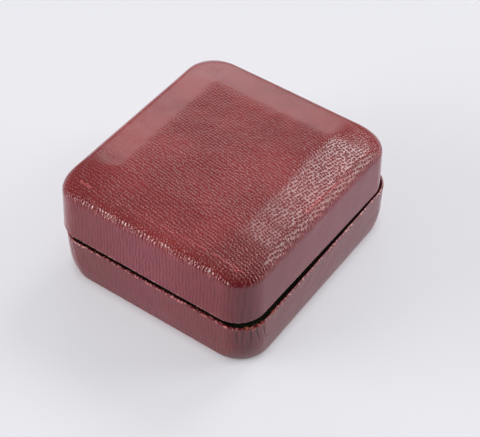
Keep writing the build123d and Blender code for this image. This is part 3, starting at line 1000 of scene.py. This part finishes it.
# The base's side tone, darker: painted shade near the floor
leather_base_side_shade = rgb(116, 41, 57)
# Darker tone: painted shade towards the front corners
leather_corner_shade = rgb(108, 22, 25)
torn_tones = rgb(196, 84, 72), rgb(232, 142, 118)
velvet_tones = rgb(15, 18, 11), rgb(27, 31, 22)
velvet_sheen = rgb(150, 160, 140)
satin_tones = rgb(222, 212, 190), rgb(240, 232, 214)
card_tones = rgb(140, 126, 106), rgb(176, 162, 140)

# Metals: bright tone, stained tone and roughness
blued_steel = (rgb(92, 98, 116), rgb(64, 62, 66), 0.3)
pressed_steel = (rgb(150, 150, 148), rgb(110, 106, 100), 0.42)
plated_steel = (rgb(190, 176, 140), rgb(128, 112, 84), 0.34)
brush_levels = (0.2, 0.8)
brush_smoother, brush_rougher = 0.08, 0.14

# Grain of the leatherette: pits on slanting rows, with painted shade in them, and painted glints on the tips
# beside them
pit_pitch = 0.86
pit_pitch_across = 0.80
pit_scatter = 0.45
pit_slope = (0.47, 0.04)
pit_depth = 0.062 * MM
pit_shade = 0.16
tip_slope = (0.30, 0.10)
tip_shift = (0.45, 0.1, 0.0)
grain_turn = 35.0
grain_sway = 0.8

# Ribs and streaks where the sheet is drawn over a side; the streaks are painted shade in the ribs' valleys,
# and the sides' tone is painted too
rib_pitch = 1.0
rib_waver = {"Distortion": 4.5, "Detail": 2.0, "Detail Scale": 1.2}
rib_height = 0.075 * MM
side_rib_height = 0.012 * MM
drawn_height = 0.045 * MM
# How much of the painted side tone the sides take
side_paint_share = 0.7
streak_from_rib, streak_from_stripe = 0.38, 0.68
streak_shade_levels = (0.37, 0.65, 0.66, 0.0)

# Slow waves, fine relief, cracks at the corners and pleats, both with painted shade, and the painted shade
# that darkens the front corners
wave_height = 0.16 * MM
fine_height = 0.006 * MM
crack_depth = 0.05 * MM
crack_shade = 0.8
crease_levels = (0.2, 0.6)
crease_roughness = 0.45
corner_shade_levels = (0.03, 0.054, 0.0, 0.6)

# Fine relief of the other materials
pile_height = 0.05 * MM
thread_height = 0.006 * MM
brush_height = 0.003 * MM
fibre_height = 0.02 * MM
tear_height = 0.01 * MM

# Wear on the lid's top, as lines on its plan: where each runs, its width and its strength
lid_wear = (
    (((26.4, -4.5), (26.6, 3.2)), 0.36, 1.0),
    (((26.6, 3.0), (26.9, 7.0), (27.0, 10.6)), 0.28, 0.9),
    (((26.1, -2.0), (26.3, 4.0)), 0.12, 0.6),
    (((-2.6, -29.1), (2.5, -29.1), (10.7, -29.1)), 0.16, 0.5),
    (((10.7, -29.1), (17.3, -29.0), (24.1, -29.0)), 0.22, 0.75),
    (((-14.0, -28.9), (-2.6, -29.1)), 0.12, 0.3),
    (((22.3, -29.5), (23.6, -29.8), (24.2, -29.0), (24.9, -29.2)), 0.2, 0.9),
    (((-24.0, -28.4), (-22.6, -28.8), (-20.2, -29.0)), 0.35, 0.8),
    (((26.6, 20.3), (26.9, 23.4)), 0.2, 0.7),
)
wear_waver = 0.9
wear_core = 0.3


def line_mask(finish, place, ends, width):
    """How near a place is to a line between two points in millimetres: 1 on it, 0 beyond its width."""
    a, b = (Vector((*p, 0)) * MM for p in ends)
    along = b - a
    from_a = finish.vector("SUBTRACT", place, a)
    share = finish.measure("DOT_PRODUCT", from_a, along / along.length_squared)
    share = finish.node("Clamp", {"Value": share}).outputs[0]
    foot = finish.node("VectorMath", {0: tuple(along), "Scale": share}, operation="SCALE").outputs[0]
    away = finish.measure("DISTANCE", from_a, foot)
    return finish.step(away, width * MM, wear_core * width * MM)


def wear_mask(finish, place, lines):
    """All wear lines together, wavering and broken up."""
    middle = (wear_waver / 2 * MM, wear_waver / 2 * MM, 0.0)
    wavering = finish.vector("SUBTRACT", finish.strayed(place, "waver", wear_waver), middle)
    masks = []
    for points, width, strength in lines:
        for ends in zip(points, points[1:]):
            masks.append(finish.times(line_mask(finish, wavering, ends, width), strength))
    return finish.times(finish.joined("MAXIMUM", masks), finish.pattern("gaps", place))


def leather(name, side_painted_tone, wear_lines=()):
    """Leatherette: grain where it lies flat, ribs and streaks where it is drawn over a side, and wear; its
    colour also holds painted shade in pits, valleys, cracks, pleats and corners, painted glints, and a
    painted tone on its sides.
    """
    finish = Finish(name, IOR=1.53)
    sheet = finish.attribute("sheet", "Vector")
    grain, drawn, streaked = (finish.attribute(key) for key in ("grain", "drawn", "streaked"))
    swayed = finish.strayed(sheet, "sway", grain_sway)
    along = finish.node("Mapping", {0: swayed, "Rotation": (0, 0, -math.radians(grain_turn))}).outputs[0]
    pitches = (1 / (pit_pitch * MM), 1 / (pit_pitch_across * MM), 1.0)
    slanting = {0: along, "Rotation": (0, 0, math.pi / 4), "Scale": pitches}
    turned = finish.node("Mapping", slanting).outputs[0]
    pit = finish.cells(turned, *pit_slope)
    ribs = {"Vector": finish.place(), "Scale": 0.1 * math.pi / (rib_pitch * MM), **rib_waver}
    rib = finish.math("SQRT", finish.node("TexWave", ribs, bands_direction="X").outputs["Fac"])
    stripe = finish.pattern("stripe")
    bent = finish.times(drawn, finish.math("SUBTRACT", 1.0, drawn), 4.0)
    crack = finish.times(finish.pattern("crack"), finish.attribute("crackle"))
    finish.bump(
        (finish.times(pit, finish.pattern("depth", sheet), grain), -pit_depth),
        (finish.times(rib, bent, streaked), rib_height),
        (finish.times(rib, drawn, streaked), side_rib_height),
        (finish.pattern("wave", sheet), wave_height),
        (finish.times(stripe, drawn, streaked), drawn_height),
        (crack, -crack_depth),
        (finish.pattern("fine"), fine_height),
    )

    aside = finish.measure("DOT_PRODUCT", finish.vector("ABSOLUTE", finish.place()), (1.0, 0.0, 0.0))
    ahead = finish.measure("DOT_PRODUCT", finish.place(), (0.0, -1.0, 0.0))
    tip = finish.times(finish.cells(finish.vector("ADD", turned, tip_shift), *tip_slope), grain)
    ridge = finish.math("ADD", finish.times(rib, streak_from_rib), finish.times(stripe, streak_from_stripe))
    crease = finish.step(finish.attribute("crease"), *crease_levels)
    layers = [
        # The sides' painted tone: a painted sheen on the lid, painted shade on the base
        (finish.times(drawn, side_paint_share), side_painted_tone),
        # Painted shade that darkens the front corners
        (finish.step(finish.math("ADD", aside, ahead), *corner_shade_levels), leather_corner_shade),
        # Painted shade in the grain's pits
        (finish.times(pit, grain, pit_shade), leather_painted_shade),
        # Painted glints: the lighter tone on the tips beside the pits
        (finish.times(tip, finish.pattern("glint_strength", sheet)), leather_glint_and_wear),
        # Painted shade along the valleys of the ribs on the sides
        (finish.times(finish.step(ridge, *streak_shade_levels), streaked, drawn), leather_painted_shade),
        # Dots of the lighter tone along the rim's crest: painted highlights of the rim's grain, and some wear
        (finish.times(finish.attribute("rim"), finish.pattern("rim_dots")), leather_glint_and_wear),
        # Painted shade in the cracks
        (finish.times(crack, crack_shade), leather_painted_shade),
        # Painted shade in the pleats, and the lid's painted shadow on the rim's inner half
        (finish.math("MAXIMUM", crease, finish.attribute("lip")), leather_pleat_and_lip_shade),
    ]
    if wear_lines:
        layers.insert(-2, (wear_mask(finish, sheet, wear_lines), leather_torn))
    tone = finish.mix(finish.pattern("blotches"), leather_deep, leather_light)
    for share, colour in layers:
        tone = finish.mix(share, tone, colour)
    finish.feed("Base Color", tone)
    dull = finish.times(crease, crease_roughness)
    finish.feed("Roughness", finish.math("ADD", finish.pattern("gloss"), dull))
    return finish.material


def two_tone(name, tones, spots, relief, height, **settings):
    """A finish of two tones that one pattern mixes, with fine relief from another."""
    finish = Finish(name, **settings)
    finish.feed("Base Color", finish.mix(finish.pattern(spots), *tones))
    finish.bump((finish.pattern(relief), height))
    return finish


def metal(name, bright, stained, roughness):
    """Brushed metal with stains."""
    finish = two_tone(name, (bright, stained), "stain", "brush", brush_height, Metallic=1.0)
    spread = (roughness - brush_smoother, roughness + brush_rougher)
    finish.feed("Roughness", finish.step(finish.pattern("brush"), *brush_levels, *spread))
    return finish.material


def dress(piece, material, body, slot, *nodes):
    """Gives a piece its finish and its body, and hides the nodes of the frame that it stands for."""
    piece.data.materials.clear()
    piece.data.materials.append(material)
    if body:
        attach(piece, body)
    if nodes:
        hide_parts(*nodes)


def dress_nodes(material, *names):
    """Gives nodes of the frame, which keep their own shape, their finish."""
    for name in names:
        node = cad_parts[name]
        if not node.material_slots:
            node.data.materials.append(material)
        for place in node.material_slots:
            place.material = material


def build_box():
    """All pieces of the box, dressed and riding on their bodies."""
    lid_leather = leather("leatherette_lid", leather_side_sheen, lid_wear)
    base_leather = leather("leatherette_base", leather_base_side_shade)
    for piece, material, body in ((lid_cover(), lid_leather, "lid"), (base_cover(), base_leather, "base")):
        thicken(piece, leatherette)
        dress(piece, material, body, "leatherette", f"{body}_cover")
    torn = two_tone("torn_backing", torn_tones, "tint", "tear", tear_height, Roughness=0.7)
    dress(fray_hairs(), torn.material, "base", "leatherette")

    sheen = {"Sheen_Weight": 0.12, "Sheen_Roughness": 0.4, "Sheen_Tint": velvet_sheen}
    dull = {"Roughness": 0.95, "Specular_IOR_Level": 0.12}
    cloth = two_tone("velvet", velvet_tones, "nap", "pile", pile_height, **dull, **sheen).material
    gloss = {"Roughness": 0.36, "Sheen_Weight": 0.2, "Anisotropic": 0.5}
    lining = two_tone("satin", satin_tones, "slub", "thread", thread_height, **gloss).material
    base_ring = collar("base_collar_cloth", False, collar_start, collar_top, collar_inner, velvet_skin)
    lid_run = (lid_collar_end, lid_collar_start, lid_collar_inner)
    lid_ring = collar("lid_collar_cloth", True, *lid_run, satin_skin)
    dress(base_ring, cloth, "base", "velvet", "base_collar_velvet")
    dress(insert_velvet(), cloth, "base", "velvet", "insert_velvet")
    dress(well_patch(), cloth, "base", "velvet", "well_floor_velvet")
    dress(lid_ring, lining, "lid", "satin", "lid_collar_satin")
    pad = pad_cushion()
    dress(pad, lining, "lid", "satin", "lid_pad_satin", "lid_pad_wadding")

    spring = spring_strip()
    dress(spring, metal("blued_steel", *blued_steel), None, "spring_steel", "snap_spring")
    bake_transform(spring)

    board = two_tone("card", card_tones, "fibre", "fibre", fibre_height, Roughness=0.9).material
    dress_nodes(board, "base_collar_card", "insert_riser", "insert_board", "well_floor_card")
    dress_nodes(board, "lid_collar_card", "lid_pad_spacer", "lid_pad_board")
    dress_nodes(metal("pressed_steel", *pressed_steel), "base_shell", "lid_shell")
    plated = metal("plated_steel", *plated_steel)
    dress_nodes(plated, "hinge_base_leaf", "hinge_lid_leaf", "hinge_pin")
    dress_nodes(plated, "base_hinge_rivets", "lid_hinge_rivets")


# Camera
camera_turn = 35.46
camera_rise = 47.49
camera_distance = 379.9
camera_side = 3.22
camera_up = -3.58
camera_aim_height = 13.0
camera_lens = 110.96
camera_film = 36.0
camera_near = 0.01


def heading(turn, rise):
    """The direction from the box towards a place turned from the front to the right, and raised."""
    a, e = math.radians(turn), math.radians(rise)
    return Vector((math.sin(a) * math.cos(e), -math.cos(a) * math.cos(e), math.sin(e)))


def set_camera():
    """The camera, where the photo was taken from."""
    back = heading(camera_turn, camera_rise)
    right = heading(camera_turn + 90, 0)
    up = back.cross(right)
    camera = bpy.data.cameras.new("camera")
    camera.lens = camera_lens
    camera.sensor_width = camera_film
    camera.clip_start = camera_near
    made = add_object("camera", camera)
    aim = Vector((0, 0, camera_aim_height))
    place = (aim + back * camera_distance + right * camera_side + up * camera_up) * MM
    made.matrix_world = Matrix.Translation(place) @ Matrix((right, up, back)).transposed().to_4x4()
    bpy.context.scene.camera = made


# Lamps: turn and rise in degrees, width and height in metres, brightness of the face, distance in metres
side_lamp = (135, 25, 0.34, 0.84, 4.2, 0.9)
front_lamp = (-36, 13, 0.13, 0.5, 13.0, 0.9)
fill_lamp = (-48, 16, 1.2, 0.7, 8.4, 1.5)
lamp_aim_height = 0.015


def softbox(name, placing, mirrored=True, lighting=True):
    """A square lamp that faces the box, with the brightness that its face shows."""
    turn, rise, width, height, radiance, distance = placing
    lamp = bpy.data.lights.new(name, "AREA")
    lamp.shape = "RECTANGLE"
    lamp.size, lamp.size_y = width, height
    lamp.energy = radiance * math.pi * width * height
    made = add_object(name, lamp)
    towards = heading(turn, rise)
    made.visible_glossy = mirrored
    made.visible_diffuse = lighting
    made.location = towards * distance + Vector((0, 0, lamp_aim_height))
    made.rotation_euler = towards.to_track_quat("Z", "Y").to_euler()


# The room: its brightness all round, overhead, at the window behind the left and at a small light behind
# the box, and its dimmer side where the camera is. Each patch rises from its edge to its core, which are
# cosines of the angle from its middle, or degrees
room_light = 0.29
room_colour = (0.97, 0.98, 1.0, 1.0)
overhead_light = 0.4
overhead_cosines = (0.78, 0.92)
window_turn, window_rise = 217.0, 22.0
window_light = 1.5
window_cosines = (0.93, 0.985)
dim_rise = 30.0
dim_share = 0.85
dim_cosines = (0.2, 0.95)
rear_turn, rear_rise = 177.0, 42.0
rear_core, rear_edge = 3.0, 14.5
rear_light = 8.0


def set_world():
    """A pale room, with a broad window behind the box on its left and a dim side where the camera is."""
    world = bpy.data.worlds.new("studio")
    bpy.context.scene.world = world
    world.use_nodes = True
    nodes = Nodes(world.node_tree)
    looking = nodes.node("TexCoord").outputs["Generated"]
    rear_cosines = (math.cos(math.radians(rear_edge)), math.cos(math.radians(rear_core)))
    patches = (
        (heading(window_turn, window_rise), *window_cosines, 0.0, window_light),
        ((0, 0, 1), *overhead_cosines, 0.0, overhead_light),
        (heading(camera_turn, dim_rise), *dim_cosines, room_light, room_light * (1 - dim_share)),
        (heading(rear_turn, rear_rise), *rear_cosines, 0.0, rear_light),
    )
    lights = []
    for towards, *steps in patches:
        lights.append(nodes.step(nodes.measure("DOT_PRODUCT", looking, towards), *steps))
    background = world.node_tree.nodes["Background"]
    nodes.put(background.inputs["Color"], room_colour)
    nodes.put(background.inputs["Strength"], nodes.joined("ADD", lights))


floor_half = 3000.0
floor_colour = (0.87, 0.87, 0.91, 1)
floor_glow = (0.84, 0.84, 0.88, 1.0)
floor_glow_share = 0.5
floor_shadow_reach = 2.2 * MM


def set_floor():
    """A pale floor, with a painted contact shadow round the box."""
    corners = [(x * floor_half, y * floor_half, 0) for x, y in ((-1, -1), (1, -1), (1, 1), (-1, 1))]
    floor = mesh_object("floor", corners, [(0, 1, 2, 3)])
    finish = Finish("floor", Roughness=0.9, Specular_IOR_Level=0.1, Base_Color=floor_colour)
    finish.glow_to_rays(floor_glow, floor_glow_share, floor_shadow_reach)
    floor.data.materials.append(finish.material)


build_box()
set_camera()
set_world()
set_floor()
softbox("side_lamp", side_lamp)
softbox("front_lamp", front_lamp, lighting=False)
softbox("fill_lamp", fill_lamp, mirrored=False)

bpy.context.scene.view_settings.view_transform = "Standard"
